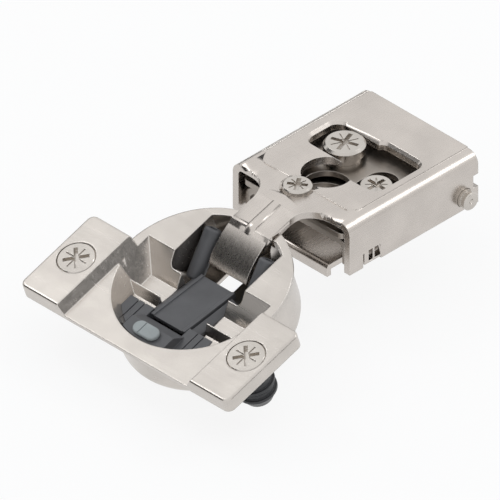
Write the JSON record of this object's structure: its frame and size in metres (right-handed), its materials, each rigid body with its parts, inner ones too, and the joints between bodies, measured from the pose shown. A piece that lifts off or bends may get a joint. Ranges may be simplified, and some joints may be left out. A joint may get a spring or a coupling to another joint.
{
  "type": "concealed hinge",
  "caption": "Concealed cabinet hinge with a 35 mm boring cup, expanding dowels, soft-close damper and a compact three-way adjustable arm for a face frame.",
  "frame": {"origin": "centre of the fixing hole on the frame plate's underside, the face that lies on the cabinet's face frame", "axes": "+X along the hinge pin, +Y away from the door into the cabinet, +Z out of the fixing hole, square to the face frame's edge"},
  "size_m": [0.055, 0.0786, 0.0248],
  "materials": {
    "nickel_plate": "satin nickel plating",
    "cup_nickel": "satin nickel plating",
    "screw_steel": "bright nickel plating",
    "spring_steel": "oiled spring steel",
    "dark_plastic": "fine satin",
    "dowel_plastic": "satin",
    "switch_plastic": "satin"
  },
  "bodies": {
    "frame": {"frame_plate": "nickel_plate", "guide_posts": "screw_steel"},
    "carrier": {"carrier": "nickel_plate"},
    "height_cam": {"height_cam": "screw_steel"},
    "depth_plate": {"depth_plate": "nickel_plate", "rear_pin": "screw_steel"},
    "depth_cam": {"depth_cam": "screw_steel"},
    "arm": {"arm": "nickel_plate"},
    "side_screw": {"side_screw": "screw_steel"},
    "cup": {"cup": "cup_nickel", "hinge_pin": "screw_steel", "closing_spring": "spring_steel", "dowel_left": "dowel_plastic", "dowel_right": "dowel_plastic", "dowel_screw_left": "screw_steel", "dowel_screw_right": "screw_steel", "damper_tube_left": "dark_plastic", "damper_tube_right": "dark_plastic", "damper_housing": "dark_plastic", "damper_cylinder": "spring_steel"},
    "slide": {"damper_slide": "dark_plastic", "piston_rod": "screw_steel"},
    "switch": {"damper_switch": "switch_plastic"}
  },
  "joints": [
    {"name": "height_adjust", "type": "slide", "parent": "frame", "child": "carrier", "axis": [1, 0, 0], "range_m": [-0.0012, 0.0012]},
    {"name": "height_cam_turn", "type": "hinge", "parent": "carrier", "child": "height_cam", "pos_m": [0.0062, 0.0068, 0.0075], "axis": [0, 0, -1], "range_deg": [-49.09, 49.09]},
    {"name": "depth_adjust", "type": "slide", "parent": "carrier", "child": "depth_plate", "axis": [0, 1, 0], "range_m": [-0.0015, 0.0015]},
    {"name": "depth_cam_turn", "type": "hinge", "parent": "depth_plate", "child": "depth_cam", "pos_m": [-0.0046, 0.0092, 0.009], "axis": [0, 0, 1], "range_deg": [-43.49, 43.49]},
    {"name": "side_adjust", "type": "hinge", "parent": "depth_plate", "child": "arm", "pos_m": [0, 0.0209, 0.0037], "axis": [-1, 0, 0], "range_deg": [-1.5, 1.5]},
    {"name": "side_screw_turn", "type": "hinge", "parent": "arm", "child": "side_screw", "pos_m": [-0.0009, -0.007, 0.0115], "axis": [0, 0, 1], "range_deg": [-361, 361]},
    {"name": "door_swing", "type": "hinge", "parent": "arm", "child": "cup", "pos_m": [0, -0.02174, 0.0015], "axis": [-1, 0, 0], "range_deg": [0, 108]},
    {"name": "damper_travel", "type": "slide", "parent": "cup", "child": "slide", "axis": [0, -0.9511, -0.309], "range_m": [0, 0.00501]},
    {"name": "switch_travel", "type": "slide", "parent": "cup", "child": "switch", "axis": [1, 0, 0], "range_m": [0, 0.0016]}
  ],
  "couplings": [
    {"joint": "height_cam_turn", "follows": "height_adjust", "rad_per_m": 706.72},
    {"joint": "depth_cam_turn", "follows": "depth_adjust", "rad_per_m": 500.16},
    {"joint": "side_screw_turn", "follows": "side_adjust", "ratio": 240},
    {"joint": "damper_travel", "follows": "door_swing", "m_per_rad": 0.0026526}
  ]
}
